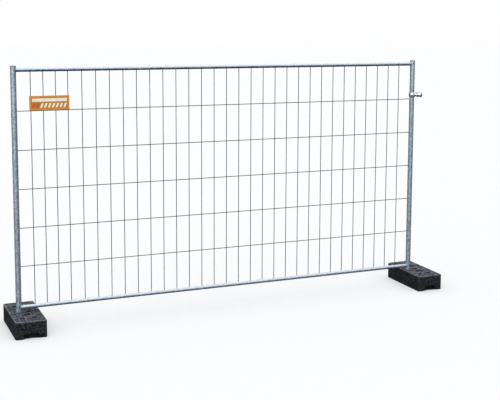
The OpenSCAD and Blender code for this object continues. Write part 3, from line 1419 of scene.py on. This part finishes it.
@dataclass
class Studio:
    """Pale floor, soft light and the photograph's camera."""

    camera_place: Point = (-3.1217, -8.0595, 2.5)
    yaw_deg: float = 25.238
    pitch_deg: float = 7.289
    roll_deg: float = 0.645
    focal_px: float = 1051.5
    principal_px: Range = (310.0, 140.0)
    image_px: tuple[int, int] = (500, 400)
    sensor_mm: float = 36.0
    print_gamma: float = 0.7
    floor_reach: float = 60.0
    floor_gap: float = 0.0004
    floor_colour: Colour = (0.595, 0.588, 0.58)
    floor_shaded: Colour = (0.06, 0.06, 0.06)
    floor_glow: Colour = (0.97, 0.97, 0.97)
    floor_bounce: Colour = (0.12, 0.12, 0.125)
    shade_reach: float = 0.06
    shade_samples: int = 8
    shade_over: Range = (0.2, 0.55)
    floor_glow_share: float = 0.5
    glow_way: Range = (0.5, 0.866)
    glow_over: Range = (0.3, 0.95)
    rise_over: Range = (0.1, 0.85)
    glow_colour: Colour = (1.9, 1.95, 2.0)
    horizon_colour: Colour = (0.40, 0.44, 0.50)
    zenith_colour: Colour = (2.0, 2.03, 2.08)
    card_place: Point = (-8.2, -6.4, 2.2)
    card_aim: Point = (-1.2, 0.0, 0.8)
    card_size: Range = (2.4, 3.0)
    card_watts: float = 40.0

    def build(self) -> None:
        """Make the camera, the floor and the light."""
        self._camera()
        self._floor()
        self._world()
        self._card()
        bpy.context.scene.view_settings.view_transform = "Standard"
        bpy.context.scene.view_settings.gamma = self.print_gamma

    def _camera(self) -> None:
        """Stand the camera where the photograph was taken."""
        yaw, pitch, roll = (math.radians(a) for a in (self.yaw_deg, self.pitch_deg, self.roll_deg))
        look = Vector((math.sin(yaw) * math.cos(pitch), math.cos(yaw) * math.cos(pitch), -math.sin(pitch)))
        level = Vector((math.cos(yaw), -math.sin(yaw), 0.0))
        rise = level.cross(look)
        right = math.cos(roll) * level + math.sin(roll) * rise
        up = math.cos(roll) * rise - math.sin(roll) * level
        turn = Matrix((right, up, -look)).transposed().to_4x4()
        data = bpy.data.cameras.new("photo_camera")
        wide, high = self.image_px
        data.sensor_width = self.sensor_mm
        data.lens = self.focal_px / wide * self.sensor_mm
        data.shift_x = (wide / 2 - self.principal_px[0]) / wide
        data.shift_y = (self.principal_px[1] - high / 2) / wide
        data.clip_end = 4 * self.floor_reach
        camera = bpy.data.objects.new("photo_camera", data)
        camera.matrix_world = Matrix.Translation(self.camera_place) @ turn
        bpy.context.scene.collection.objects.link(camera)
        bpy.context.scene.camera = camera

    @staticmethod
    def _shown(graph: Graph, lighting: Node, shown: Node) -> NodeSocket:
        """Show one shader to the camera, while another one lights the object.

        Args:
            graph: the tree that both are in.
            lighting: the shader that lights the object.
            shown: the shader that the camera sees.

        Returns:
            The joined shader's socket.
        """
        direct = graph.add("ShaderNodeLightPath").outputs["Is Camera Ray"]
        inputs = {0: direct, 1: lighting.outputs[0], 2: shown.outputs[0]}
        return graph.add("ShaderNodeMixShader", inputs).outputs[0]

    def _floor(self) -> None:
        """Lay a pale floor that throws little light back up."""
        reach, level = self.floor_reach, -self.floor_gap
        signs = ((-1, -1), (1, -1), (1, 1), (-1, 1))
        corners = [(x * reach, y * reach, level) for x, y in signs]
        material = bpy.data.materials.new("pale_floor")
        graph = fresh_graph(material)
        nearby = {"Distance": self.shade_reach}
        shade = graph.add("ShaderNodeAmbientOcclusion", nearby, samples=self.shade_samples)
        open_sky = graph.span(shade.outputs["AO"], *self.shade_over)
        ground = graph.mix(open_sky, self.floor_shaded, self.floor_colour)
        lit = graph.add("ShaderNodeBsdfDiffuse", {"Color": ground})
        even = graph.add("ShaderNodeEmission", {"Color": (*self.floor_glow, 1.0), "Strength": open_sky})
        blend = {0: self.floor_glow_share, 1: lit.outputs[0], 2: even.outputs[0]}
        seen = graph.add("ShaderNodeMixShader", blend)
        bounce = graph.add("ShaderNodeBsdfDiffuse", {"Color": (*self.floor_bounce, 1.0)})
        graph.add("ShaderNodeOutputMaterial", {"Surface": self._shown(graph, bounce, seen)})
        floor = new_piece("studio_floor", mesh_of("studio_floor", corners, faces=[(0, 1, 2, 3)]), material)

    def _world(self) -> None:
        """Light the object from a pale sky, dim near the ground but for a soft glow behind the camera."""
        world = bpy.data.worlds.new("soft_sky")
        graph = fresh_graph(world)
        way = graph.add("ShaderNodeTexCoord").outputs["Generated"]
        way = graph.add("ShaderNodeSeparateXYZ", {0: way}).outputs
        rise = graph.span(way["Z"], *self.rise_over)
        ahead = graph.math("MULTIPLY", way["Y"], -self.glow_way[1])
        ahead = graph.math("MULTIPLY_ADD", way["X"], -self.glow_way[0], ahead)
        low_sky = graph.mix(graph.span(ahead, *self.glow_over), self.horizon_colour, self.glow_colour)
        sky = graph.add("ShaderNodeBackground", {"Color": graph.mix(rise, low_sky, self.zenith_colour)})
        white = graph.add("ShaderNodeBackground", {"Color": (1.0, 1.0, 1.0, 1.0)})
        graph.add("ShaderNodeOutputWorld", {"Surface": self._shown(graph, sky, white)})
        bpy.context.scene.world = world

    def _card(self) -> None:
        """Hang a soft rectangular light at the side."""
        data = bpy.data.lights.new("side_card", "AREA")
        data.shape = "RECTANGLE"
        data.size, data.size_y = self.card_size
        data.energy = self.card_watts
        card = bpy.data.objects.new("side_card", data)
        card.location = self.card_place
        card.rotation_euler = (Vector(self.card_aim) - card.location).to_track_quat("-Z", "Y").to_euler()
        bpy.context.scene.collection.objects.link(card)


def main() -> None:
    """Build the studio and dress every sub-assembly."""
    logging.basicConfig(level=logging.INFO, format="%(name)s: %(message)s")
    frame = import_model()
    Studio().build()
    finishes = Finishes()
    assemblies = (
        TubeFrame(frame, finishes),
        WireMesh(frame, finishes),
        SignPlate(frame, finishes),
        RubberFoot(frame, finishes, "left_foot", Body.LEFT_FOOT, "left_post"),
        RubberFoot(frame, finishes, "right_foot", Body.RIGHT_FOOT, "right_post"),
        Coupler(frame, finishes),
    )
    for assembly in assemblies:
        assembly.build()


if __name__ == "__main__":
    main()
